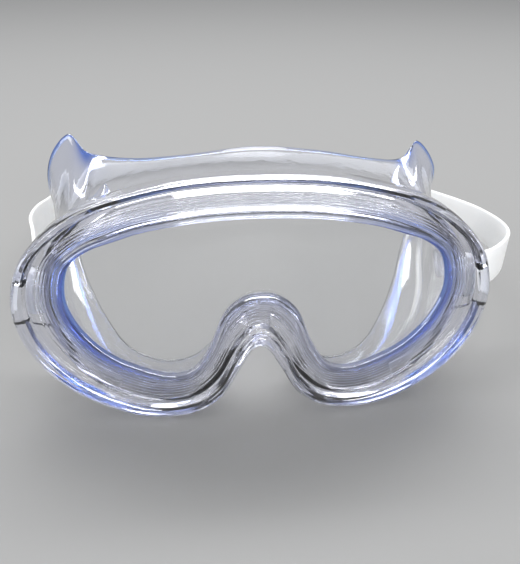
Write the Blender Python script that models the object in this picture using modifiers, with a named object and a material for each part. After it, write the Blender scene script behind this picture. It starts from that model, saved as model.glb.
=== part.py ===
"""Wide-vision splash goggles.

A soft clear frame holds a clear lens in a groove. A white rubber headband is buttoned into two clear
clips, and the clips swivel on pins moulded on the sides of the frame. The goggles lean back a little,
standing on the front rim and the cheek of the skirt, with the headband lying on the same surface.
"""

import math

import bmesh
import bpy
import numpy as np
from mathutils import Vector

COLLECTION = "splash_goggles"
CUTTERS = "splash_goggles_cutters"
MM = 0.001

# Attitude and curvature
LEAN_DEG = 9.0             # how far the goggles lean back
STAND = (-7.33, -97.28, 60.0)  # where the middle of the lens's front stands from the object's origin, mm
FACE_RADIUS = 383.0        # the lens and the rim wrap round this radius, mm

# Right halves of the outlines, from the middle of the brow round to the middle of the nose, mm.
# Each is (x, z), or (x, z, y) where the depth y changes along the outline.
RIM = [(0, 36.3), (25, 34.8), (48, 29.5), (63.5, 23), (75, 14.5), (84, 4.3), (89, -7.5), (90, -18.5),
       (86.5, -31), (77.5, -43), (64, -52.2), (45, -58.3), (27, -57.2), (15, -50), (7.8, -38), (3.4, -30.4),
       (0, -28)]
WINDOW = [(0, 23), (19, 22.2), (37.4, 19), (49, 15), (58, 10.8), (65.2, 5), (68, -4.5), (67, -12.5),
          (62.5, -21), (55, -28.5), (46, -33.3), (34, -36.9), (25, -34.8), (18.8, -26), (13.4, -12.8),
          (7, -6.6), (0, -4.8)]
WALL = [(0, 33.5), (24, 32.2), (46, 27.5), (60, 20.5), (69, 12.5), (74.5, 3.5), (76.5, -8), (76.5, -19),
        (74, -31), (67, -42.5), (55.5, -51), (41, -55.7), (27, -54.4), (17, -46), (9.7, -33), (4.8, -26),
        (0, -23.5)]
BULGE = [(0, 34, 32), (24, 33, 33), (46, 30, 38), (59, 26, 44), (68, 23, 50), (76, 14, 53), (77.5, 2, 53),
         (77, -14, 51), (75, -29, 46), (68, -43, 41), (57, -52.8, 38), (42, -58.6, 36), (27, -56.6, 31),
         (15.5, -46, 28), (8.8, -33, 24), (4.5, -24.8, 21), (0, -22, 20)]
FREE_EDGE = [(0, 37.4, 41), (25, 35, 42), (46, 32, 46), (60, 30.6, 53), (71.5, 37, 59), (81, 25, 61),
             (79.5, 8, 60), (68.5, -9, 52), (63, -23, 46.5), (56.5, -34.5, 41.5), (48, -43, 36),
             (36, -46.5, 32), (25, -44.8, 30), (16.5, -37, 28), (9.5, -25.5, 24), (4.8, -18, 21.5),
             (0, -15.5, 20)]
SPAN_STEPS = 4             # facets between two outline points

# Section of the rim: (share of the way from window to rim edge, depth in mm), front then back
RIM_FRONT = [(0.0, 1.2), (0.06, 0.0), (0.145, 0.3), (0.165, 1.6), (0.29, 2.6), (0.31, 3.4), (0.56, 4.6),
             (0.70, 5.3), (0.745, 3.9), (0.79, 2.2), (0.90, 1.9), (1.0, 4.6)]
RIM_BACK = [(1.0, 10.0), (0.96, 12.0)]
POCKET_Z = (-21.5, -4.5)   # at each side the back of the rim's lip is hollowed where the band's end lies
POCKET_X = 60.0            # only further out than this
POCKET_DEPTH = 3.2
POCKET_SLOPE = 1.5         # over this height its ends run out
LENS_SEAT = [(0.24, 7.6), (0.12, 6.0), (0.09, 4.6), (0.15, 4.6), (0.15, 2.0), (0.0, 2.0)]
WALL_DEPTH = 13.0          # where the skirt leaves the back of the rim
SEAM_GAP = 0.3             # between the rim's and the skirt's solids, which are one moulding on the real thing
WALL_RUN = 12.0            # how far it runs straight back before it turns
SKIRT_STEPS = 5
SKIRT_THICKNESS = (2.4, 1.5)
SKEW_X = -2.8              # the soft skirt stands askew: its cheeks' edge is this far to one side, mm
SKEW_FADE = (26.0, 0.0)    # none of that above the first height, all of it below the second
SKEW_TILT = -0.036         # and the edge is lower towards +X by this much per mm
BROW_SKEW = 1.3            # and the brow's edge rises by this much on one side and drops on the other, mm
BROW_REACH = 60.0          # between the middle and this far out

# Lens
LENS_EDGE_SHARE = 0.125    # how far the lens reaches into the groove
LENS_FRONT = 2.35
LENS_THICKNESS = 1.9
LENS_COLUMNS = 36
LENS_BLANK_X = 74.0        # half width of the sheet that the lens is cut from
LENS_BLANK_Z = (-45.0, 30.0)
LENS_CUT_Y = (-5.0, 25.0)  # the cutting prism, front and back

# Swivel pins on the frame, centred on the headband's swing axis
PIN_Y, PIN_Z = 38.0, -13.0
PIN_ROOT_X = 75.0
PIN_ROOT_SHIFT = -0.8          # the skirt's wall is askew by this much where the pins stand
PIN_SHOULDER = (4.6, 83.6)     # radius, outer end
PIN_SHAFT = (3.0, 87.0)
PIN_HEAD = (4.2, 86.7, 88.0)   # radius, inner face, outer face
PIN_SIDES = 24

# Swivel clips
CLIP_RADIUS = 15.3
CLIP_X = (84.0, 86.2)
CLIP_HOLE_RADIUS = 3.3
CLIP_SLOT_Y = 29.8
CLIP_SLOT = (4.0, 18.4)        # width, height
CLIP_EDGE = 0.5
CLIP_CUTTER = 8.0              # thickness of the cutters for the hole and the slot

# Headband: middle line from the right clip round to the left one, as (x, y) from the middle of the lens
# and the height over the surface
STRAP_WIDTH = 17.0
STRAP_THICKNESS = 1.6
STRAP_BEAD_RADIUS = 2.2
STRAP_END_X = 81.5
STRAP_ROUTE = [(91.3, 28.6, 42.2), (99, 31.7, 42), (109, 41, 41), (117, 54, 38.2),
               (122, 72, 34), (121.5, 93, 30), (118, 112, 26), (113, 132, 21.5), (108, 154, 16.5),
               (101, 173, 12), (88, 187, 9.2), (66, 194, 8.6), (30, 198, 8.6), (-10, 199.5, 8.6),
               (-50, 199, 8.6), (-80, 196, 8.8), (-98, 184, 10.2), (-106.5, 164, 14), (-107.5, 142, 19),
               (-107.5, 120, 25), (-104.5, 98, 30), (-97.5, 76, 34.5), (-93, 54, 38.5), (-92.4, 38, 41),
               (-91.2, 30.3, 42)]
SLOT_CLEAR_X = CLIP_X[1] + 0.8 # the band runs straight until it is out of the slot
STRAP_CURVE_STEPS = 12
STRAP_STEP = 5.0
STRAP_EDGE = 0.45          # bevel along the band's edges
STRAP_LEVEL_RUN = 70.0     # over this length from a clip the band turns from leaning to upright


# ---------------------------------------------------------------- helpers


def clear_scene():
    for item in list(bpy.data.objects):
        bpy.data.objects.remove(item, do_unlink=True)


def new_collection(name):
    group = bpy.data.collections.new(name)
    bpy.context.scene.collection.children.link(group)
    return group


def material(name, colour, roughness, alpha=1.0):
    mat = bpy.data.materials.new(name)
    mat.use_nodes = True
    shader = mat.node_tree.nodes["Principled BSDF"]
    shader.inputs["Base Color"].default_value = (*colour, 1.0)
    shader.inputs["Roughness"].default_value = roughness
    shader.inputs["Metallic"].default_value = 0.0
    shader.inputs["Alpha"].default_value = alpha
    return mat


def mesh_object(name, mesh, group, parent=None, mat=None):
    item = bpy.data.objects.new(name, mesh)
    group.objects.link(item)
    item.parent = parent
    if mat:
        mesh.materials.append(mat)
    return item


def finish_mesh(name, bm, smooth_deg=35.0):
    bmesh.ops.recalc_face_normals(bm, faces=bm.faces)
    mesh = bpy.data.meshes.new(name)
    bm.to_mesh(mesh)
    bm.free()
    mesh.shade_smooth()
    mesh.set_sharp_from_angle(angle=math.radians(smooth_deg))
    return mesh


def as_cutter(item):
    item.hide_render = True
    item.display_type = "WIRE"


def boolean(item, other, operation):
    cut = item.modifiers.new(operation.lower() + "_" + other.name, "BOOLEAN")
    cut.operation = operation
    cut.solver = "EXACT"
    cut.object = other


def spline(points, steps, closed):
    """Points of a Catmull-Rom curve through the given ones."""
    p = np.asarray(points, float)
    if closed:
        p = np.vstack([p[-1:], p, p[:2]])
    else:
        p = np.vstack([2 * p[0] - p[1], p, 2 * p[-1] - p[-2]])
    out = []
    for a, b, c, d in zip(p, p[1:], p[2:], p[3:]):
        for i in range(steps):
            t = i / steps
            out.append(b + 0.5 * t * (c - a + t * (2 * a - 5 * b + 4 * c - d + t * (3 * (b - c) + d - a))))
    if not closed:
        out.append(p[-2])
    return np.array(out)


def outline(half):
    """The whole closed outline of a right half, as smooth points (x, z[, y])."""
    right = [np.array(point, float) for point in half]
    flip = np.ones(len(right[0]))
    flip[0] = -1
    left = [point * flip for point in right[-2:0:-1]]
    return spline(right + left, SPAN_STEPS, closed=True)


def wrap(x):
    """Depth that the face curvature adds at a distance x from the middle."""
    return FACE_RADIUS - np.sqrt(FACE_RADIUS**2 - x**2)


def place(xz, depth):
    """Outline points (x, z) at a depth behind the curved front, as (x, y, z)."""
    return np.stack([xz[:, 0], wrap(xz[:, 0]) + depth, xz[:, 1]], axis=1)


def closed_sweep(sections):
    """A closed ring body from loops of equal length; the last loop joins the first."""
    bm = bmesh.new()
    loops = [[bm.verts.new(Vector(p) * MM) for p in loop] for loop in sections]
    around = len(loops[0])
    for first, second in zip(loops, loops[1:] + loops[:1]):
        for i in range(around):
            j = (i + 1) % around
            bm.faces.new((first[i], first[j], second[j], second[i]))
    return bm


def cylinder_x(name, radius, x0, x1, y, z, group, parent):
    bm = bmesh.new()
    bmesh.ops.create_cone(bm, cap_ends=True, segments=PIN_SIDES, radius1=radius * MM, radius2=radius * MM,
                          depth=abs(x1 - x0) * MM)
    item = mesh_object(name, finish_mesh(name, bm), group, parent)
    item.rotation_euler = (0, math.radians(90), 0)
    item.location = Vector(((x0 + x1) / 2, y, z)) * MM
    return item


def box(name, size, centre, group, parent):
    bm = bmesh.new()
    bmesh.ops.create_cube(bm, size=1.0)
    bmesh.ops.scale(bm, vec=Vector(size) * MM, verts=bm.verts)
    item = mesh_object(name, finish_mesh(name, bm), group, parent)
    item.location = Vector(centre) * MM
    return item


# ---------------------------------------------------------------- frame


def skirt_surfaces(wall, bulge, free_edge):
    """Outer and inner loops of the skirt, from the back of the rim to its free edge."""
    start = place(wall, WALL_DEPTH)
    turn = place(wall, WALL_DEPTH + WALL_RUN)
    crown = bulge[:, [0, 2, 1]]
    end = free_edge[:, [0, 2, 1]]
    outer = []
    for step in range(SKIRT_STEPS + 1):
        t = step / SKIRT_STEPS
        s = 1 - t
        loop = s**3 * start + 3 * s * s * t * turn + 3 * s * t * t * crown + t**3 * end
        low = np.clip((SKEW_FADE[0] - loop[:, 2]) / (SKEW_FADE[0] - SKEW_FADE[1]), 0, 1)
        across = loop[:, 0]
        brow = (1 - low) * BROW_SKEW * np.sin(math.pi * np.clip(across / BROW_REACH, -1, 1))
        askew = np.stack([SKEW_X * low, np.zeros(len(loop)), across * SKEW_TILT + brow], axis=1)
        outer.append(loop + askew * t * t)
    outer = np.array(outer)
    along = np.gradient(outer, axis=0)
    around = np.roll(outer, -1, axis=1) - np.roll(outer, 1, axis=1)
    normal = np.cross(around, along)
    normal /= np.linalg.norm(normal, axis=2, keepdims=True)
    brow = outer[0, 0]
    if np.dot(normal[0, 0], (0, 0, 1)) * brow[2] < 0:
        normal = -normal
    thickness = np.linspace(*SKIRT_THICKNESS, SKIRT_STEPS + 1)[:, None, None]
    return list(outer), list(outer - normal * thickness)


def rim_back(window, edge):
    """Loops of the back of the lip, hollowed at both sides."""
    low, high = POCKET_Z
    loops = []
    for share, depth in RIM_BACK:
        loop = place(window + (edge - window) * share, depth)
        inside = np.clip(np.minimum(loop[:, 2] - low, high - loop[:, 2]) / POCKET_SLOPE, 0, 1)
        loop[:, 1] -= POCKET_DEPTH * inside * (np.abs(loop[:, 0]) > POCKET_X)
        loops.append(loop)
    return loops


def build_frame(group, cutters, parent):
    """The rim with the lens's groove, and the skirt with the pins: one moulding, as two solids."""
    mat = material("clear_pvc", (0.72, 0.78, 0.92), 0.12, 0.4)
    window, edge, wall = outline(WINDOW), outline(RIM), outline(WALL)
    outer, inner = skirt_surfaces(wall, outline(BULGE), outline(FREE_EDGE))
    front, seat = ([place(window + (edge - window) * share, depth) for share, depth in profile]
                   for profile in (RIM_FRONT, LENS_SEAT))
    foot = [loop - (0, SEAM_GAP, 0) for loop in (outer[0], inner[0])]
    ring = front + rim_back(window, edge) + foot + seat
    mesh_object("rim", finish_mesh("rim", closed_sweep(ring)), group, parent, mat)
    skirt = mesh_object("skirt", finish_mesh("skirt", closed_sweep(outer + inner[::-1])), group, parent, mat)
    for side, name in ((1, "right"), (-1, "left")):
        root = PIN_ROOT_X + side * PIN_ROOT_SHIFT
        stages = (("shoulder", PIN_SHOULDER[0], root, PIN_SHOULDER[1]),
                  ("shaft", PIN_SHAFT[0], root, PIN_SHAFT[1]),
                  ("head", PIN_HEAD[0], PIN_HEAD[1], PIN_HEAD[2]))
        for stage, radius, x0, x1 in stages:
            pin = cylinder_x(f"pin_{stage}_{name}", radius, side * x0, side * x1, PIN_Y, PIN_Z, cutters, parent)
            as_cutter(pin)
            boolean(skirt, pin, "UNION")


# ---------------------------------------------------------------- lens


def lens_blank():
    """A curved sheet, larger than the lens, in vertical strips."""
    low, high = LENS_BLANK_Z
    bm = bmesh.new()
    columns = []
    for x in np.linspace(-LENS_BLANK_X, LENS_BLANK_X, LENS_COLUMNS + 1):
        front = wrap(x) + LENS_FRONT
        back = front + LENS_THICKNESS
        corners = ((x, front, low), (x, front, high), (x, back, high), (x, back, low))
        columns.append([bm.verts.new(Vector(corner) * MM) for corner in corners])
    for first, second in zip(columns, columns[1:]):
        for i in range(4):
            j = (i + 1) % 4
            bm.faces.new((first[i], first[j], second[j], second[i]))
    bm.faces.new(columns[0])
    bm.faces.new(columns[-1])
    return bm


def lens_prism():
    """The lens's outline as a straight prism through the blank."""
    window, rim = outline(WINDOW), outline(RIM)
    edge = window + (rim - window) * LENS_EDGE_SHARE
    bm = bmesh.new()
    front, back = LENS_CUT_Y
    face = bm.faces.new([bm.verts.new(Vector((x, front, z)) * MM) for x, z in edge])
    grown = bmesh.ops.extrude_face_region(bm, geom=[face])
    moved = [v for v in grown["geom"] if isinstance(v, bmesh.types.BMVert)]
    bmesh.ops.translate(bm, vec=(0, (back - front) * MM, 0), verts=moved)
    return bm


def build_lens(group, cutters, parent):
    mat = material("clear_polycarbonate", (0.9, 0.92, 0.95), 0.03, 0.2)
    lens = mesh_object("lens", finish_mesh("lens", lens_blank()), group, parent, mat)
    prism = mesh_object("lens_outline", finish_mesh("lens_outline", lens_prism()), cutters, parent)
    as_cutter(prism)
    boolean(lens, prism, "INTERSECT")


# ---------------------------------------------------------------- clips


def build_clip(name, side, group, cutters, parent):
    mat = material("clear_" + name, (0.85, 0.88, 0.93), 0.06, 0.4)
    clip = cylinder_x(name, CLIP_RADIUS, side * CLIP_X[0], side * CLIP_X[1], PIN_Y, PIN_Z, group, parent)
    clip.data.materials.append(mat)
    bevel = clip.modifiers.new("edge", "BEVEL")
    bevel.width = CLIP_EDGE * MM
    bevel.segments = 2
    bevel.limit_method = "ANGLE"
    middle = side * sum(CLIP_X) / 2
    hole = cylinder_x(name + "_hole", CLIP_HOLE_RADIUS, middle - CLIP_CUTTER / 2, middle + CLIP_CUTTER / 2,
                      PIN_Y, PIN_Z, cutters, parent)
    slot = box(name + "_slot", (CLIP_CUTTER, *CLIP_SLOT), (middle, CLIP_SLOT_Y, PIN_Z), cutters, parent)
    for cutter in (hole, slot):
        as_cutter(cutter)
        boolean(clip, cutter, "DIFFERENCE")


# ---------------------------------------------------------------- headband


def lean(point):
    """A point of the goggles' own frame, in mm, where it comes to stand after leaning back."""
    angle = math.radians(-LEAN_DEG)
    x, y, z = point
    turned = (x, y * math.cos(angle) - z * math.sin(angle), y * math.sin(angle) + z * math.cos(angle))
    return np.array(turned) + STAND


def strap_line():
    """Middle line of the band, evenly stepped, from bead to bead, straight through both slots."""
    right = [lean((x, CLIP_SLOT_Y, PIN_Z)) for x in (STRAP_END_X, SLOT_CLEAR_X)]
    left = [lean((-x, CLIP_SLOT_Y, PIN_Z)) for x in (SLOT_CLEAR_X, STRAP_END_X)]
    route = [np.array(point) + (STAND[0], STAND[1], 0) for point in STRAP_ROUTE]
    rough = spline([*right, *route, *left], STRAP_CURVE_STEPS, closed=False)
    travelled = np.concatenate([[0], np.cumsum(np.linalg.norm(np.diff(rough, axis=0), axis=1))])
    count = int(travelled[-1] / STRAP_STEP)
    stops = np.linspace(0, travelled[-1], count + 1)
    line = np.stack([np.interp(stops, travelled, rough[:, i]) for i in range(3)], axis=1)
    return line


def strap_section():
    """Corners of the band's section as (across thickness, across width)."""
    half_t, half_w = STRAP_THICKNESS / 2, STRAP_WIDTH / 2
    flat_t, flat_w = half_t - STRAP_EDGE, half_w - STRAP_EDGE
    return [(-half_t, -flat_w), (-flat_t, -half_w), (flat_t, -half_w), (half_t, -flat_w),
            (half_t, flat_w), (flat_t, half_w), (-flat_t, half_w), (-half_t, flat_w)]


def strap_mesh():
    line = strap_line()
    forward = np.gradient(line, axis=0)
    forward /= np.linalg.norm(forward, axis=1, keepdims=True)
    angle = math.radians(LEAN_DEG)
    tilted = np.array([0, math.sin(angle), math.cos(angle)])
    upright = np.array([0, 0, 1.0])
    bm = bmesh.new()
    rings = []
    for i, (point, ahead) in enumerate(zip(line, forward)):
        near_clip = max(0.0, 1 - min(i, len(line) - 1 - i) * STRAP_STEP / STRAP_LEVEL_RUN)
        up = tilted * near_clip + upright * (1 - near_clip)
        side = np.cross(ahead, up)
        side /= np.linalg.norm(side)
        up /= np.linalg.norm(up)
        rings.append([bm.verts.new(Vector(point + side * a + up * b) * MM) for a, b in strap_section()])
    for first, second in zip(rings, rings[1:]):
        for i in range(len(first)):
            j = (i + 1) % len(first)
            bm.faces.new((first[i], first[j], second[j], second[i]))
    bm.faces.new(rings[0])
    bm.faces.new(rings[-1])
    return bm


def strap_bead(side, cutters):
    """Round bead across the end of the band, behind the clip's slot."""
    bm = bmesh.new()
    bmesh.ops.create_cone(bm, cap_ends=True, segments=16, radius1=STRAP_BEAD_RADIUS * MM,
                          radius2=STRAP_BEAD_RADIUS * MM, depth=STRAP_WIDTH * MM)
    name = "bead_right" if side > 0 else "bead_left"
    bead = mesh_object(name, finish_mesh(name, bm), cutters)
    bead.location = Vector(lean((side * STRAP_END_X, CLIP_SLOT_Y, PIN_Z))) * MM
    bead.rotation_euler = (math.radians(-LEAN_DEG), 0, 0)
    as_cutter(bead)
    return bead


def build_strap(group, cutters):
    mat = material("white_rubber", (0.85, 0.86, 0.85), 0.35)
    strap = mesh_object("headband", finish_mesh("headband", strap_mesh()), group, None, mat)
    for side in (1, -1):
        boolean(strap, strap_bead(side, cutters), "UNION")


# ---------------------------------------------------------------- assembly


def main():
    clear_scene()
    group = new_collection(COLLECTION)
    cutters = new_collection(CUTTERS)
    stance = bpy.data.objects.new("leaning_frame", None)
    group.objects.link(stance)
    stance.location = Vector(STAND) * MM
    stance.rotation_euler = (math.radians(-LEAN_DEG), 0, 0)
    build_frame(group, cutters, stance)
    build_lens(group, cutters, stance)
    build_clip("strap_clip_right", 1, group, cutters, stance)
    build_clip("strap_clip_left", -1, group, cutters, stance)
    build_strap(group, cutters)


main()
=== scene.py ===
"""Looks of the wide-vision splash goggles: clear blue-tinted moulding, clear lens, white rubber band."""

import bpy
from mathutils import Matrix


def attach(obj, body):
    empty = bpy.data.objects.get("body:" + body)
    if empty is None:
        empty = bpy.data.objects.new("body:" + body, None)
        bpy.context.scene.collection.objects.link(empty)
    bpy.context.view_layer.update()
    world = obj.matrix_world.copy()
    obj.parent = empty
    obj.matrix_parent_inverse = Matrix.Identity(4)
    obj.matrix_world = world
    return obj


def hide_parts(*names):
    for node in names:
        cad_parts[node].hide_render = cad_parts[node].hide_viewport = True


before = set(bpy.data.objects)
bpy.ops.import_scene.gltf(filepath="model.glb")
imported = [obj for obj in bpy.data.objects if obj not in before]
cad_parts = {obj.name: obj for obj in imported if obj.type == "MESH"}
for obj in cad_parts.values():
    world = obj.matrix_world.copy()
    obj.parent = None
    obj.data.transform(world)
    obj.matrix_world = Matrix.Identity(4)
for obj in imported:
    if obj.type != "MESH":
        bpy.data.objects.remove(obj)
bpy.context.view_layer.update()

import math

import bmesh
import bpy
import numpy as np
from mathutils import Matrix, Vector

MM = 0.001

# Attitude and curvature, as in the CAD
LEAN_DEG = 9.0                # how far the goggles lean back
STAND = np.array((-7.33, -97.28, 60.0))   # where the middle of the lens's front stands, mm
FACE_RADIUS = 383.0           # the lens and the rim wrap round this radius, mm

# Right halves of the outlines, from the middle of the brow round to the middle of the nose, mm.
# Each is (x, z), or (x, z, y) where the depth y changes along the outline.
RIM = [(0, 36.3), (25, 34.8), (48, 29.5), (63.5, 23), (75, 14.5), (84, 4.3), (89, -7.5), (90, -18.5),
       (86.5, -31), (77.5, -43), (64, -52.2), (45, -58.3), (27, -57.2), (15, -50), (7.8, -38), (3.4, -30.4),
       (0, -28)]
WINDOW = [(0, 22), (19, 21.1), (37.4, 18), (49, 14.3), (58, 10.8), (65.2, 5), (68, -4.5), (67, -12.5),
          (62.5, -21), (55, -28.5), (46, -33.3), (34, -36.9), (25, -34.8), (18.8, -26), (13.4, -12.8),
          (7, -6.6), (0, -4.8)]
WALL = [(0, 33.5), (24, 32.2), (46, 27.5), (60, 20.5), (69, 12.5), (74.5, 3.5), (76.5, -8), (76.5, -19),
        (74, -31), (67, -42.5), (55.5, -51), (41, -55.7), (27, -54.4), (17, -46), (9.7, -33), (4.8, -26),
        (0, -23.5)]
BULGE = [(0, 34, 32), (24, 33, 33), (46, 30, 38), (59, 26, 44), (68, 23, 50), (76, 14, 53), (77.5, 2, 53),
         (77, -14, 51), (75, -29, 46), (68, -43, 41), (57, -52.8, 38), (42, -58.6, 36), (27, -56.6, 31),
         (15.5, -46, 28), (8.8, -33, 24), (4.5, -24.8, 21), (0, -22, 20)]
FREE_EDGE = [(0, 37.4, 41), (25, 35, 42), (46, 32, 46), (63, 31, 54.5), (71.5, 37, 59), (81, 25, 61),
             (79.5, 8, 60), (68.5, -9, 52), (63, -23, 46.5), (56.5, -34.5, 41.5), (48, -43, 36),
             (36, -46.5, 32), (25, -44.8, 30), (16.5, -37, 28), (9.5, -25.5, 24), (4.8, -18, 21.5),
             (0, -15.5, 20)]
SPAN_STEPS = 12               # facets between two outline points

# Section of the rim: (share of the way from window to rim edge, depth in mm, how strongly the painted blue
# glow is laid on). The lip over the lens comes first, then five fine moulded ridges, a smooth band, a groove
# and the outer lip.
RIM_FRONT = [(0.0, 1.5, 0.95), (0.03, 0.5, 0.8), (0.09, 0.0, 0.5), (0.145, 0.4, 0.45), (0.165, 1.5, 0.7),
             (0.22, 1.8, 0.6), (0.245, 2.6, 0.55), (0.29, 2.75, 0.45), (0.31, 3.4, 0.45), (0.35, 3.25, 0.35),
             (0.37, 3.8, 0.35), (0.41, 3.65, 0.25), (0.43, 4.2, 0.25), (0.475, 4.0, 0.15), (0.495, 4.5, 0.1),
             (0.54, 4.3, 0.0), (0.56, 4.8, 0.0), (0.68, 5.2, 0.0), (0.725, 5.4, 0.0), (0.745, 3.9, 0.0),
             (0.77, 2.6, 0.0), (0.82, 1.9, 0.0), (0.90, 1.9, 0.0), (0.955, 2.5, 0.0), (0.99, 3.6, 0.0),
             (1.0, 4.8, 0.0)]
RIM_BACK = [(1.0, 9.6, 0.0), (0.985, 11.2, 0.0), (0.95, 12.1, 0.1), (0.86, 12.6, 0.15)]
LENS_SEAT = [(0.24, 7.6, 0.5), (0.12, 6.0, 0.9), (0.09, 4.6, 1.0), (0.15, 4.6, 0.9), (0.15, 2.0, 0.6),
             (0.0, 2.0, 0.6)]
RIM_ROUNDING = 0.32           # radius at the corners of the section, mm
ROUNDING_SHARE = 0.42         # but no more than this share of the facet beside the corner
POCKET_Z = (-21.5, -4.5)      # at each side the back of the rim's lip is hollowed where the band's end lies
POCKET_X = 60.0               # only further out than this
POCKET_DEPTH = 3.2
POCKET_SLOPE = 0.5            # the hollow's ends run out over this height

# Skirt. Shares run from the rim's back (0) to the free edge (1).
WALL_DEPTH = 13.0             # where the skirt leaves the back of the rim, mm
WALL_RUN = 12.0               # the skirt sets off straight back, and this sets how far
SKIRT_SHARES = np.array([*np.linspace(0, 0.94, 26), 0.957, 0.97, 0.98, 0.988, 0.995, 1.0])
SKIRT_THICKNESS = (2.4, 1.5)
EDGE_BEAD = 0.15              # extra thickness of the bead along the free edge, mm
EDGE_BEAD_RUN = 0.045         # its width, as a share
EDGE_CAP = np.radians((30, 60, 90, 120, 150))   # where the loops lie round the free edge
SKEW_X = -2.8                 # the soft skirt stands askew: its cheeks' edge is this far to one side, mm
SKEW_FADE = (0.0, 26.0)       # all of that below the first height, none of it above the second
SKEW_TILT = -0.036            # the edge is lower towards +X by this much per mm
BROW_SKEW = 1.3               # the brow's edge rises on one side and drops on the other by this, mm
BROW_REACH = 60.0             # between the middle and this far out
HORN_FADE = (12.0, 22.0)      # the horns' painted blue glow and creases fade in between these heights, mm
FOLDS = [(63.5, 2.2, 0.9), (69, 2.4, -0.6), (74.5, 2.0, 0.5)]   # creases: (distance out, width, depth), mm

# Painted blue glow: the moulding's base colour is turned blue where light travels along it, its strength
# held in a vertex attribute
GLOW = "painted_edge_glow"
PAINTED_GLOW_BLUE = (0.10, 0.24, 0.86)
WINDOW_GLOW = ((25, 60), (0.3, 1.25))   # the painted glow is stronger on the rim at the sides: (distances out in mm), (scales)
HORN_GLOW = (72.0, 13.0, 0.10)          # at the skirt's horns: (distance out in mm, width in mm, strength)
ROOT_GLOW = (64.5, 4.0, 1.0)            # at their inner feet
ROOT_GLOW_RUN = 0.18                    # how far that reaches from the free edge, as a share
UPPER_GLOW = 0.07                       # all over the brow and the horns
LINE_GLOW = (0.12, 0.88)                # along the free edge: (everywhere, added on the brow and the horns)
LINE_GLOW_X = ((12, 40), (0.3, 1.0))    # the added part is weaker at the middle: (distances out), (scales)
LINE_GLOW_RUN = 0.010                   # how far the line reaches from the free edge, as a share

# Lens
LENS_EDGE_SHARE = 0.125       # how far its edge reaches under the rim, as a share of the rim's section
LENS_FRONT = 2.35             # depth of its front, mm
LENS_THICKNESS = 1.9
LENS_EDGE_PROFILE = [(0.55, 0.0), (0.22, 0.06), (0.06, 0.22), (0.0, 0.5)]   # (inset, depth) at each face
LENS_COLUMNS = 90

# Swivel pins and clips
PIN_Y, PIN_Z = 38.0, -13.0
PIN_ROOTS = (75.6, 77.2)      # where the right and the left pin leave the skirt's wall, which stands askew
# Along the pin: (distance from the middle, radius), mm
PIN_PROFILE = [(78.6, 4.6), (83.3, 4.6), (83.6, 4.3), (83.6, 3.0), (86.7, 3.0), (86.7, 3.9), (86.9, 4.15),
               (87.3, 4.2), (87.7, 3.9), (87.95, 3.0), (88.0, 1.2)]
PIN_FLARE = [(0.0, 0.5), (0.6, 0.1)]   # the pin widens at its root: (distance from there, extra radius)
TURN_SEGMENTS = 48
CLIP_RADIUS = 15.3
CLIP_SEGMENTS = 96
CLIP_X = (84.0, 86.2)
CLIP_HOLE_RADIUS = 3.3
CLIP_HOLE_SEGMENTS = 36
CLIP_SLOT_Y = 29.8
CLIP_SLOT = (4.0, 18.4)
CLIP_SLOT_CORNER = 1.2
CLIP_SLOT_STEPS = 6
CLIP_ROUNDING = 0.45

# Headband: middle line as (x, y) from the middle of the lens and the height over the surface, mm
STRAP_WIDTH = 17.0
STRAP_THICKNESS = 1.6
STRAP_BEAD_RADIUS = 2.2
STRAP_BEAD_ENDS = [(0.0, 0.55), (0.25, 0.82), (0.7, 1.0)]   # (distance from its end, share of the radius)
STRAP_BEAD_SEGMENTS = 24
STRAP_END_X = 81.5
SLOT_CLEAR_X = CLIP_X[1] + 0.8
STRAP_ROUTE = [(91.3, 28.6, 42.2), (99, 31.7, 42), (109, 41, 41), (117, 54, 38.2),
               (122, 72, 34), (121.5, 93, 30), (118, 112, 26), (113, 132, 21.5), (108, 154, 16.5),
               (101, 173, 12), (88, 187, 9.2), (66, 194, 8.6), (30, 198, 8.6), (-10, 199.5, 8.6),
               (-50, 199, 8.6), (-80, 196, 8.8), (-98, 184, 10.2), (-106.5, 164, 14), (-107.5, 142, 19),
               (-107.5, 120, 25), (-104.5, 98, 30), (-97.5, 76, 34.5), (-91.2, 54, 38.5), (-89.8, 38, 41),
               (-90, 30.3, 42)]
STRAP_STEP = 2.0
STRAP_LEVEL_RUN = 70.0        # from each end, the band turns upright over this length

# Looks
COAT_IOR, COAT_ROUGHNESS = 1.6, 0.04
BOUNCES = 24                  # light passes many clear walls
LAMP_AIM = (0, -0.06, 0.05)

# Camera: direction in degrees, aim as an offset from the middle of the lens, in mm, and distance from it
CAMERA_AZIMUTH, CAMERA_ELEVATION, CAMERA_ROLL = -5.7, 33.9, 0.93
CAMERA_DISTANCE = 191.87
CAMERA_AIM = np.array((-0.57, 0.0, -0.07))
CAMERA_LENS, CAMERA_SENSOR = 35.94, 36.0


# ---------------------------------------------------------------- curves and meshes


def spline(points, steps, closed):
    """Points of a Catmull-Rom curve through the given ones."""
    p = np.asarray(points, float)
    if closed:
        p = np.vstack([p[-1:], p, p[:2]])
    else:
        p = np.vstack([2 * p[0] - p[1], p, 2 * p[-1] - p[-2]])
    out = []
    for a, b, c, d in zip(p, p[1:], p[2:], p[3:]):
        for i in range(steps):
            t = i / steps
            out.append(b + 0.5 * t * (c - a + t * (2 * a - 5 * b + 4 * c - d + t * (3 * (b - c) + d - a))))
    if not closed:
        out.append(p[-2])
    return np.array(out)


def outline(half):
    """The whole closed outline of a right half, as smooth points (x, z[, y])."""
    right = [np.array(point, float) for point in half]
    flip = np.ones(len(right[0]))
    flip[0] = -1
    left = [point * flip for point in right[-2:0:-1]]
    return spline(right + left, SPAN_STEPS, closed=True)


def wrap(x):
    """Depth that the face curvature adds at a distance x from the middle."""
    return FACE_RADIUS - np.sqrt(FACE_RADIUS**2 - x**2)


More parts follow.
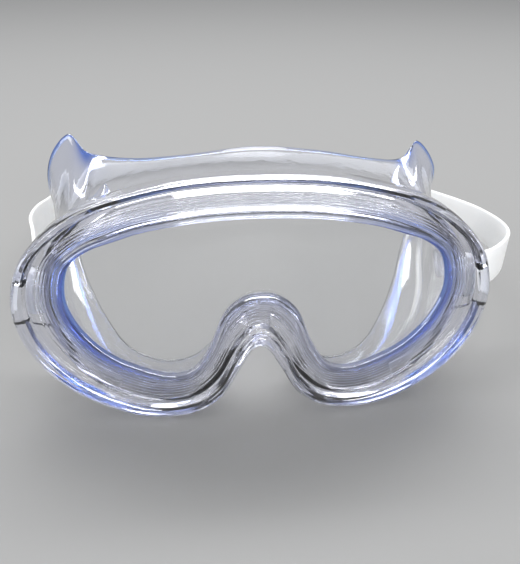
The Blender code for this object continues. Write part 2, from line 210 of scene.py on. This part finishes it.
def place(xz, depth):
    """Outline points (x, z) at a depth behind the curved front, as (x, y, z)."""
    return np.stack([xz[:, 0], wrap(xz[:, 0]) + depth, xz[:, 1]], axis=1)


def to_row(points):
    """Points of the goggles' own upright frame, in mm, leaned back and stood in the row frame, in metres."""
    p = np.asarray(points, float)
    c, s = math.cos(-math.radians(LEAN_DEG)), math.sin(-math.radians(LEAN_DEG))
    turned = np.stack([p[..., 0], p[..., 1] * c - p[..., 2] * s, p[..., 1] * s + p[..., 2] * c], axis=-1)
    return (turned + STAND) * MM


def rounded(loops, radius):
    """The inner ones of a run of loops, each corner of the section made a small arc of three facets."""
    def towards(corner, other):
        step = other - corner
        length = max(np.linalg.norm(step[:, :3], axis=1).mean(), 1e-6)
        return corner + step * min(ROUNDING_SHARE, radius / length)

    out = []
    for before, corner, after in zip(loops, loops[1:], loops[2:]):
        start, end = towards(corner, before), towards(corner, after)
        for t in (0.0, 1 / 3, 2 / 3, 1.0):
            out.append((1 - t) ** 2 * start + 2 * t * (1 - t) * corner + t * t * end)
    return out


def finish_mesh(name, bm, body, material, sharp_deg=42.0):
    """A shown piece from a bmesh: outward normals, smooth shading, material and body."""
    bmesh.ops.recalc_face_normals(bm, faces=bm.faces)
    if bm.calc_volume(signed=True) < 0:
        bmesh.ops.reverse_faces(bm, faces=bm.faces)
    mesh = bpy.data.meshes.new(name)
    bm.to_mesh(mesh)
    bm.free()
    mesh.shade_smooth()
    mesh.set_sharp_from_angle(angle=math.radians(sharp_deg))
    mesh.materials.append(material)
    piece = bpy.data.objects.new(name, mesh)
    bpy.context.scene.collection.objects.link(piece)
    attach(piece, body)
    return piece


def skin(loops, closed=False):
    """Quads through loops of equal length, if closed round to the first: the bmesh and its vertex rings."""
    bm = bmesh.new()
    rings = [[bm.verts.new(Vector(point)) for point in loop] for loop in loops]
    for first, second in zip(rings, rings[1:] + (rings[:1] if closed else [])):
        for i in range(len(first)):
            j = (i + 1) % len(first)
            bm.faces.new((first[i], first[j], second[j], second[i]))
    return bm, rings


def capped_skin(loops):
    """The same with a flat face over each end."""
    bm, rings = skin(loops)
    bm.faces.new(rings[0])
    bm.faces.new(rings[-1])
    return bm


def circle(radius, segments):
    """Points (u, v) of a circle."""
    turns = [2 * math.pi * k / segments for k in range(segments)]
    return [(radius * math.cos(a), radius * math.sin(a)) for a in turns]


# ---------------------------------------------------------------- pieces


def with_glow(loop, glow):
    """A loop of points with the strength of its painted blue glow as a fourth column."""
    return np.column_stack([loop, np.broadcast_to(glow, len(loop))])


def hump(x, middle, width):
    """A smooth hump of height 1."""
    return np.exp(-(((x - middle) / width) ** 2))


def painted_edge_glow(loop, share):
    """How strongly the painted blue glow lies on the skirt at a share of its depth: a thin line at the free
    edge, wider at the horns.
    """
    x, raised = np.abs(loop[:, 0]), np.interp(loop[:, 2], HORN_FADE, (0, 1))
    horns, roots = (strength * hump(x, middle, width) for middle, width, strength in (HORN_GLOW, ROOT_GLOW))
    line = LINE_GLOW[0] + LINE_GLOW[1] * raised * np.interp(x, *LINE_GLOW_X)
    glow = line * hump(share, 1, LINE_GLOW_RUN)
    return np.clip(glow + raised * (roots * hump(share, 1, ROOT_GLOW_RUN) + horns + UPPER_GLOW), 0, 1)


def corner_folds(surface, share):
    """How deep the soft creases below the skirt's horns lie in its surface, mm."""
    x, raised = np.abs(surface[:, :, :1]), np.interp(surface[:, :, 2:], HORN_FADE, (0, 1))
    creases = sum(depth * hump(x, middle, width) for middle, width, depth in FOLDS)
    return creases * raised * np.sin(math.pi * share)


def skirt_loops(wall, bulge, free_edge):
    """Outer loops, rounded free edge and inner loops of the skirt, from the rim's back round to the seat."""
    start, turn = place(wall, WALL_DEPTH), place(wall, WALL_DEPTH + WALL_RUN)
    crown, end = bulge[:, [0, 2, 1]], free_edge[:, [0, 2, 1]]
    t = SKIRT_SHARES[:, None, None]
    outer = (1 - t) ** 3 * start + 3 * (1 - t) ** 2 * t * turn + 3 * (1 - t) * t * t * crown + t**3 * end
    across, low = outer[:, :, 0], np.interp(outer[:, :, 2], SKEW_FADE, (1, 0))
    brow = (1 - low) * BROW_SKEW * np.sin(math.pi * np.clip(across / BROW_REACH, -1, 1))
    askew = np.stack([SKEW_X * low, np.zeros_like(low), across * SKEW_TILT + brow], axis=2)
    outer = outer + askew * t * t
    along = np.gradient(outer, axis=0)
    around = np.roll(outer, -1, axis=1) - np.roll(outer, 1, axis=1)
    normal = np.cross(around, along)
    normal /= np.linalg.norm(normal, axis=2, keepdims=True)
    if normal[0, 0, 2] < 0:
        normal = -normal
    bead = EDGE_BEAD * hump(t, 1, EDGE_BEAD_RUN)
    outer = outer + normal * (bead / 2 - corner_folds(outer, t))
    inner = outer - normal * (np.interp(t, (0, 1), SKIRT_THICKNESS) + bead)
    middle, half = (outer[-1] + inner[-1]) / 2, (outer[-1] - inner[-1]) / 2
    ahead = along[-1] / np.linalg.norm(along[-1], axis=1, keepdims=True)
    reach = np.linalg.norm(half, axis=1, keepdims=True)
    cap = [middle + half * math.cos(a) + ahead * reach * math.sin(a) for a in EDGE_CAP]
    glow = [painted_edge_glow(loop, share) for loop, share in zip(outer, SKIRT_SHARES)]
    walls = [with_glow(loop, value) for loop, value in zip(outer, glow)]
    back = [with_glow(loop, value) for loop, value in zip(inner, glow)]
    return walls + [with_glow(loop, painted_edge_glow(loop, 1.0)) for loop in cap] + back[::-1]


def build_moulding(material):
    """The soft clear moulding: rim, lens seat, side wall and skirt in one closed skin."""
    window, rim = outline(WINDOW), outline(RIM)
    # painted glow: the rim's painted blue is made stronger at the sides
    beside = np.interp(np.abs(window[:, 0]), *WINDOW_GLOW)

    def section(profile):
        return [with_glow(place(window + (rim - window) * share, depth), np.clip(glow * beside, 0, 1))
                for share, depth, glow in profile]

    skirt = skirt_loops(outline(WALL), outline(BULGE), outline(FREE_EDGE))
    lip_back = section(RIM_BACK)
    for loop in lip_back:
        depth = np.minimum(loop[:, 2] - POCKET_Z[0], POCKET_Z[1] - loop[:, 2]) / POCKET_SLOPE
        loop[:, 1] -= POCKET_DEPTH * np.clip(depth, 0, 1) * (np.abs(loop[:, 0]) > POCKET_X)
    frame_loops = [skirt[-1], *section(LENS_SEAT), *section(RIM_FRONT), *lip_back, skirt[0]]
    loops = rounded(frame_loops, RIM_ROUNDING) + skirt
    bm, _ = skin([to_row(loop) for loop in loops], closed=True)
    piece = finish_mesh("moulding", bm, "frame", material, sharp_deg=60.0)
    glow = piece.data.attributes.new(GLOW, "FLOAT", "POINT")
    glow.data.foreach_set("value", np.concatenate([loop[:, 3] for loop in loops]).astype(np.float32))
    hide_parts("rim", "skirt")
    build_pin("swivel_pin_right", 1, PIN_ROOTS[0], material)
    build_pin("swivel_pin_left", -1, PIN_ROOTS[1], material)


def build_pin(name, side, root, material):
    """A pin turned about X, from its root on the skirt's wall outward."""
    flare = [(root + out, PIN_PROFILE[0][1] + extra) for out, extra in PIN_FLARE]
    loops = [to_row([(side * along, PIN_Y + u, PIN_Z + v) for u, v in circle(radius, TURN_SEGMENTS)])
             for along, radius in flare + PIN_PROFILE]
    finish_mesh(name, capped_skin(loops), "frame", material)


def build_lens(material):
    """The lens as a curved pane with softly rounded edges."""
    edge = outline(WINDOW) + (outline(RIM) - outline(WINDOW)) * LENS_EDGE_SHARE
    top_left, top_right = edge[:, 0].argmin(), edge[:, 0].argmax()
    upper = np.vstack([edge[top_left:], edge[:top_right + 1]])
    lower = edge[top_right:top_left + 1][::-1]
    reach = edge[top_right, 0]
    x = reach * np.sin(np.linspace(-math.pi / 2, math.pi / 2, LENS_COLUMNS + 1))
    top = np.interp(x, upper[:, 0], upper[:, 1])
    bottom = np.interp(x, lower[:, 0], lower[:, 1])
    loop = np.vstack([np.stack([x, top], 1), np.stack([x, bottom], 1)[-2:0:-1]])
    tangent = np.roll(loop, -1, axis=0) - np.roll(loop, 1, axis=0)
    tangent /= np.linalg.norm(tangent, axis=1, keepdims=True)
    inward = np.stack([tangent[:, 1], -tangent[:, 0]], axis=1)
    front = [place(loop + inward * inset, LENS_FRONT + depth) for inset, depth in LENS_EDGE_PROFILE]
    back = [place(loop + inward * inset, LENS_FRONT + LENS_THICKNESS - depth)
            for inset, depth in reversed(LENS_EDGE_PROFILE)]
    bm, rings = skin([to_row(points) for points in front + back])
    count = len(loop)
    for ring in (rings[0], rings[-1]):
        for i in range(LENS_COLUMNS):
            corners = [ring[i], ring[i + 1], ring[(count - i - 1) % count], ring[(count - i) % count]]
            bm.faces.new(list(dict.fromkeys(corners)))
    piece = finish_mesh("lens_pane", bm, "frame", material)
    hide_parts("lens")


def add_outline(curve, points):
    """Adds one closed straight-sided outline to a flat curve."""
    run = curve.splines.new("POLY")
    run.points.add(len(points) - 1)
    for target, (u, v) in zip(run.points, points):
        target.co = (u, v, 0, 1)
    run.use_cyclic_u = True


def slot_outline():
    """The clip's slot, a rectangle with round corners, from the middle of the clip."""
    half_w, half_h = (size / 2 + CLIP_ROUNDING - CLIP_SLOT_CORNER for size in CLIP_SLOT)
    points = []
    for quarter, (sx, sy) in enumerate(((1, 1), (-1, 1), (-1, -1), (1, -1))):
        for k in range(CLIP_SLOT_STEPS + 1):
            a = math.pi / 2 * (quarter + k / CLIP_SLOT_STEPS)
            points.append((CLIP_SLOT_Y - PIN_Y + sx * half_w + CLIP_SLOT_CORNER * math.cos(a),
                           sy * half_h + CLIP_SLOT_CORNER * math.sin(a)))
    return points


def build_clip(name, side, material):
    """A clear disc with a pin hole and a slot for the band, all edges rounded."""
    curve = bpy.data.curves.new(name + "_flat", "CURVE")
    curve.dimensions = "2D"
    curve.fill_mode = "BOTH"
    add_outline(curve, circle(CLIP_RADIUS - CLIP_ROUNDING, CLIP_SEGMENTS))
    add_outline(curve, circle(CLIP_HOLE_RADIUS + CLIP_ROUNDING, CLIP_HOLE_SEGMENTS))
    add_outline(curve, slot_outline())
    curve.extrude = (CLIP_X[1] - CLIP_X[0]) / 2 - CLIP_ROUNDING
    curve.bevel_depth = CLIP_ROUNDING
    curve.bevel_resolution = 3
    flat = bpy.data.objects.new(name + "_flat", curve)
    bpy.context.scene.collection.objects.link(flat)
    bpy.context.view_layer.update()
    mesh = bpy.data.meshes.new_from_object(flat.evaluated_get(bpy.context.evaluated_depsgraph_get()))
    bm = bmesh.new()
    bm.from_mesh(mesh)
    bpy.data.objects.remove(flat)
    bpy.data.meshes.remove(mesh)
    bmesh.ops.remove_doubles(bm, verts=bm.verts, dist=0.001)
    for vert in bm.verts:
        u, v, w = vert.co
        vert.co = Vector(to_row((side * (sum(CLIP_X) / 2 + w), PIN_Y + u, PIN_Z + v)))
    piece = finish_mesh(name, bm, "band", material)
    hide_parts("strap_" + name)


def strap_line():
    """Middle line of the band, evenly stepped, from bead to bead, straight through both slots."""
    right = [to_row((x, CLIP_SLOT_Y, PIN_Z)) / MM for x in (STRAP_END_X, SLOT_CLEAR_X)]
    left = [to_row((-x, CLIP_SLOT_Y, PIN_Z)) / MM for x in (SLOT_CLEAR_X, STRAP_END_X)]
    route = [np.array(point) + (STAND[0], STAND[1], 0) for point in STRAP_ROUTE]
    rough = spline([*right, *route, *left], SPAN_STEPS, closed=False)
    travelled = np.concatenate([[0], np.cumsum(np.linalg.norm(np.diff(rough, axis=0), axis=1))])
    stops = np.linspace(0, travelled[-1], int(travelled[-1] / STRAP_STEP) + 1)
    return np.stack([np.interp(stops, travelled, rough[:, i]) for i in range(3)], axis=1)


def strap_section():
    """The band's section with full round edges, as (across thickness, across width)."""
    half_t, half_w = STRAP_THICKNESS / 2, STRAP_WIDTH / 2
    points = []
    for sign in (1, -1):
        for degrees in range(-90, 91, 30):
            a = math.radians(degrees)
            points.append((-sign * half_t * math.sin(a), sign * (half_w - half_t + half_t * math.cos(a))))
        for share in (0.5, 0.0, -0.5):
            points.append((-sign * half_t, sign * share * (half_w - half_t)))
    return points


def build_band(material):
    """The white rubber band, leaned like the goggles at the clips and upright further back."""
    line = strap_line()
    forward = np.gradient(line, axis=0)
    forward /= np.linalg.norm(forward, axis=1, keepdims=True)
    lean = math.radians(LEAN_DEG)
    tilted, upright = np.array((0, math.sin(lean), math.cos(lean))), np.array((0, 0, 1.0))
    loops = []
    for i, (point, ahead) in enumerate(zip(line, forward)):
        near_clip = max(0.0, 1 - min(i, len(line) - 1 - i) * STRAP_STEP / STRAP_LEVEL_RUN)
        up = tilted * near_clip + upright * (1 - near_clip)
        side = np.cross(ahead, up)
        side /= np.linalg.norm(side)
        up /= np.linalg.norm(up)
        loops.append([(point + side * a + up * b) * MM for a, b in strap_section()])
    piece = finish_mesh("band", capped_skin(loops), "band", material, sharp_deg=70.0)
    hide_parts("headband")


def build_bead(name, side, material):
    """A round bead across the end of the band, behind the clip's slot."""
    half = STRAP_WIDTH / 2
    profile = [(inset - half, share) for inset, share in STRAP_BEAD_ENDS]
    profile += [(half - inset, share) for inset, share in reversed(STRAP_BEAD_ENDS)]
    loops = [to_row([(side * STRAP_END_X + u, CLIP_SLOT_Y + v, PIN_Z + up)
                     for u, v in circle(STRAP_BEAD_RADIUS * share, STRAP_BEAD_SEGMENTS)])
             for up, share in profile]
    finish_mesh(name, capped_skin(loops), "band", material)


# ---------------------------------------------------------------- materials


def node(tree, kind, **inputs):
    """A shader node with its inputs set by name, spaces written as underscores."""
    made = tree.nodes.new(kind)
    for key, value in inputs.items():
        made.inputs[key.replace("_", " ")].default_value = value
    return made


def blank_material(name):
    material = bpy.data.materials.new(name)
    material.use_nodes = True
    return material, material.node_tree, material.node_tree.nodes["Principled BSDF"]


def object_coordinates(tree):
    return tree.nodes.new("ShaderNodeTexCoord").outputs["Object"]


def noise(tree, vector, scale, detail, roughness=0.5, distortion=0.0):
    """Soft noise from 0 to 1. The scale is per metre."""
    made = node(tree, "ShaderNodeTexNoise", Scale=scale, Detail=detail, Roughness=roughness,
                Distortion=distortion)
    tree.links.new(vector, made.inputs["Vector"])
    return made.outputs["Fac"]


def ramp(tree, value, low, high, start=0.3, end=0.7):
    """A colour or grey that goes from low to high as the value goes from start to end."""
    made = tree.nodes.new("ShaderNodeValToRGB")
    made.color_ramp.elements[0].position, made.color_ramp.elements[1].position = start, end
    made.color_ramp.elements[0].color, made.color_ramp.elements[1].color = (*low, 1), (*high, 1)
    tree.links.new(value, made.inputs["Fac"])
    return made.outputs["Color"]


def bump(tree, height, distance, strength, under=None):
    """A normal bumped by a height, of the given distance in metres, over the bump under it."""
    made = node(tree, "ShaderNodeBump", Strength=strength, Distance=distance)
    tree.links.new(height, made.inputs["Height"])
    if under:
        tree.links.new(under, made.inputs["Normal"])
    return made.outputs["Normal"]


def clear_plastic(name, ior, coat, tint, absorb_colour, absorb_density, rough, wave, ripple):
    """Clear moulded plastic: a tinted body that deepens with thickness, a painted blue glow where the vertex
    attribute asks for it, slow waves and a fine ripple.

    Tint and rough are (low, high) over slow clouds; wave and ripple are (noise scale, strength).
    """
    material, tree, shader = blank_material(name)
    shader.inputs["IOR"].default_value = ior
    shader.inputs["Transmission Weight"].default_value = 1.0
    shader.inputs["Coat Weight"].default_value = coat
    shader.inputs["Coat IOR"].default_value = COAT_IOR
    shader.inputs["Coat Roughness"].default_value = COAT_ROUGHNESS
    vector = object_coordinates(tree)
    # painted glow: the base colour is mixed towards blue by the vertex attribute, standing in for light
    # travelling along the clear moulding
    glow = tree.nodes.new("ShaderNodeAttribute")
    glow.attribute_name = GLOW
    mix = tree.nodes.new("ShaderNodeMix")
    mix.data_type = "RGBA"
    tree.links.new(glow.outputs["Fac"], mix.inputs["Factor"])
    tree.links.new(ramp(tree, noise(tree, vector, scale=45, detail=3), *tint), mix.inputs[6])
    mix.inputs[7].default_value = (*PAINTED_GLOW_BLUE, 1)
    tree.links.new(mix.outputs[2], shader.inputs["Base Color"])
    cloudy = noise(tree, vector, scale=130, detail=4)
    tree.links.new(ramp(tree, cloudy, (rough[0],) * 3, (rough[1],) * 3), shader.inputs["Roughness"])
    waves = noise(tree, vector, wave[0], detail=2, roughness=0.45, distortion=0.6)
    slow = bump(tree, waves, distance=0.001, strength=wave[1])
    fine = bump(tree, noise(tree, vector, ripple[0], detail=3), 0.0002, ripple[1], under=slow)
    tree.links.new(fine, shader.inputs["Normal"])
    body = node(tree, "ShaderNodeVolumeAbsorption", Color=(*absorb_colour, 1), Density=absorb_density)
    tree.links.new(body.outputs["Volume"], tree.nodes["Material Output"].inputs["Volume"])
    return material


def white_rubber():
    """Milky soft rubber: satin, slightly translucent, with faint clouding and a fine moulded skin."""
    material, tree, shader = blank_material("white_rubber_skin")
    vector = object_coordinates(tree)
    shader.inputs["Subsurface Weight"].default_value = 0.45
    shader.inputs["Subsurface Radius"].default_value = (1.0, 0.95, 0.9)
    shader.inputs["Subsurface Scale"].default_value = 0.0022
    shader.inputs["IOR"].default_value = 1.43
    shader.inputs["Sheen Weight"].default_value = 0.08
    shader.inputs["Sheen Roughness"].default_value = 0.4
    clouds = noise(tree, vector, scale=38, detail=4, roughness=0.55, distortion=0.3)
    tree.links.new(ramp(tree, clouds, (0.80, 0.815, 0.82), (0.88, 0.885, 0.88)), shader.inputs["Base Color"])
    satin = noise(tree, vector, scale=210, detail=3)
    tree.links.new(ramp(tree, satin, (0.34,) * 3, (0.48,) * 3), shader.inputs["Roughness"])
    slow = bump(tree, noise(tree, vector, scale=60, detail=2), distance=0.001, strength=0.06)
    grain = noise(tree, vector, scale=1900, detail=3)
    tree.links.new(bump(tree, grain, 0.0001, 0.25, under=slow), shader.inputs["Normal"])
    return material


# ---------------------------------------------------------------- stage


def build_stage():
    """A plain pale floor and a soft sky over it."""
    material, _, shader = blank_material("floor_paint")
    shader.inputs["Base Color"].default_value = (0.24, 0.24, 0.237, 1)
    shader.inputs["Roughness"].default_value = 0.6
    bpy.ops.mesh.primitive_plane_add(size=6.0)
    floor = bpy.context.object
    floor.name = "floor"
    floor.data.materials.append(material)

    world = bpy.data.worlds.new("studio")
    bpy.context.scene.world = world
    world.use_nodes = True
    tree = world.node_tree
    sky = tree.nodes["Background"]
    coordinates = tree.nodes.new("ShaderNodeTexCoord")
    split = tree.nodes.new("ShaderNodeSeparateXYZ")
    tree.links.new(coordinates.outputs["Generated"], split.inputs["Vector"])
    tree.links.new(ramp(tree, split.outputs["Z"], (0.60, 0.60, 0.61), (0.88, 0.89, 0.92), 0.0, 0.7),
                   sky.inputs["Color"])
    sky.inputs["Strength"].default_value = 0.85


def area_lamp(name, place_m, size, power):
    """A rectangular soft lamp aimed at the goggles."""
    data = bpy.data.lights.new(name, "AREA")
    data.shape = "RECTANGLE"
    data.size, data.size_y = size
    data.energy = power
    lamp = bpy.data.objects.new(name, data)
    bpy.context.scene.collection.objects.link(lamp)
    lamp.location = place_m
    lamp.rotation_euler = (Vector(LAMP_AIM) - Vector(place_m)).to_track_quat("-Z", "Y").to_euler()


def build_lamps():
    """A soft ceiling, two strips that draw the highlights along the rim, and a fill from the left."""
    area_lamp("ceiling_softbox", (0.1, 0.75, 1.25), size=(1.3, 0.7), power=7)
    area_lamp("strip_back", (0.0, 0.42, 0.85), size=(2.0, 0.13), power=10)
    area_lamp("strip_front", (0.1, -1.0, 0.5), size=(0.9, 0.16), power=7.5)
    area_lamp("side_fill", (-1.1, -0.5, 0.6), size=(0.5, 0.8), power=5)


def build_camera():
    """The camera at the photograph's viewing angle."""
    azimuth, elevation, roll = map(math.radians, (CAMERA_AZIMUTH, CAMERA_ELEVATION, CAMERA_ROLL))
    away = Vector((math.sin(azimuth) * math.cos(elevation), -math.cos(azimuth) * math.cos(elevation),
                   math.sin(elevation)))
    right = (-away).cross(Vector((0, 0, 1))).normalized()
    up = right.cross(-away)
    turned_right = right * math.cos(roll) + up * math.sin(roll)
    turned_up = up * math.cos(roll) - right * math.sin(roll)
    data = bpy.data.cameras.new("view")
    data.lens = CAMERA_LENS
    data.sensor_width = CAMERA_SENSOR
    data.clip_start = 0.01
    camera = bpy.data.objects.new("view", data)
    bpy.context.scene.collection.objects.link(camera)
    place_m = Vector((STAND + CAMERA_AIM) * MM) + away * CAMERA_DISTANCE * MM
    turn = Matrix((turned_right, turned_up, away)).transposed().to_4x4()
    camera.matrix_world = Matrix.Translation(place_m) @ turn
    bpy.context.scene.camera = camera


# ---------------------------------------------------------------- assembly


def main():
    pvc = clear_plastic("clear_pvc_body", ior=1.53, coat=0.9,
                        tint=((0.974, 0.978, 1.0), (0.990, 0.992, 1.0)),
                        absorb_colour=(0.48, 0.53, 0.91), absorb_density=11.0,
                        rough=(0.02, 0.06), wave=(70, 0.14), ripple=(900, 0.05))
    polycarbonate = clear_plastic("clear_polycarbonate_pane", ior=1.585, coat=0.0,
                                  tint=((0.985, 0.99, 0.995), (0.995, 0.997, 1.0)),
                                  absorb_colour=(0.55, 0.7, 0.75), absorb_density=8.0,
                                  rough=(0.0, 0.012), wave=(18, 0.02), ripple=(600, 0.004))
    clip_plastic = clear_plastic("clear_clip_plastic", ior=1.49, coat=0.2,
                                 tint=((0.95, 0.96, 0.99), (0.98, 0.985, 1.0)),
                                 absorb_colour=(0.5, 0.52, 0.8), absorb_density=30.0,
                                 rough=(0.06, 0.14), wave=(90, 0.08), ripple=(1100, 0.06))
    rubber = white_rubber()
    build_moulding(pvc)
    build_lens(polycarbonate)
    build_clip("clip_right", 1, clip_plastic)
    build_clip("clip_left", -1, clip_plastic)
    build_band(rubber)
    build_bead("band_bead_right", 1, rubber)
    build_bead("band_bead_left", -1, rubber)
    build_stage()
    build_lamps()
    build_camera()
    scene = bpy.context.scene
    scene.view_settings.view_transform = "Standard"
    scene.cycles.max_bounces = BOUNCES
    scene.cycles.transmission_bounces = BOUNCES


main()
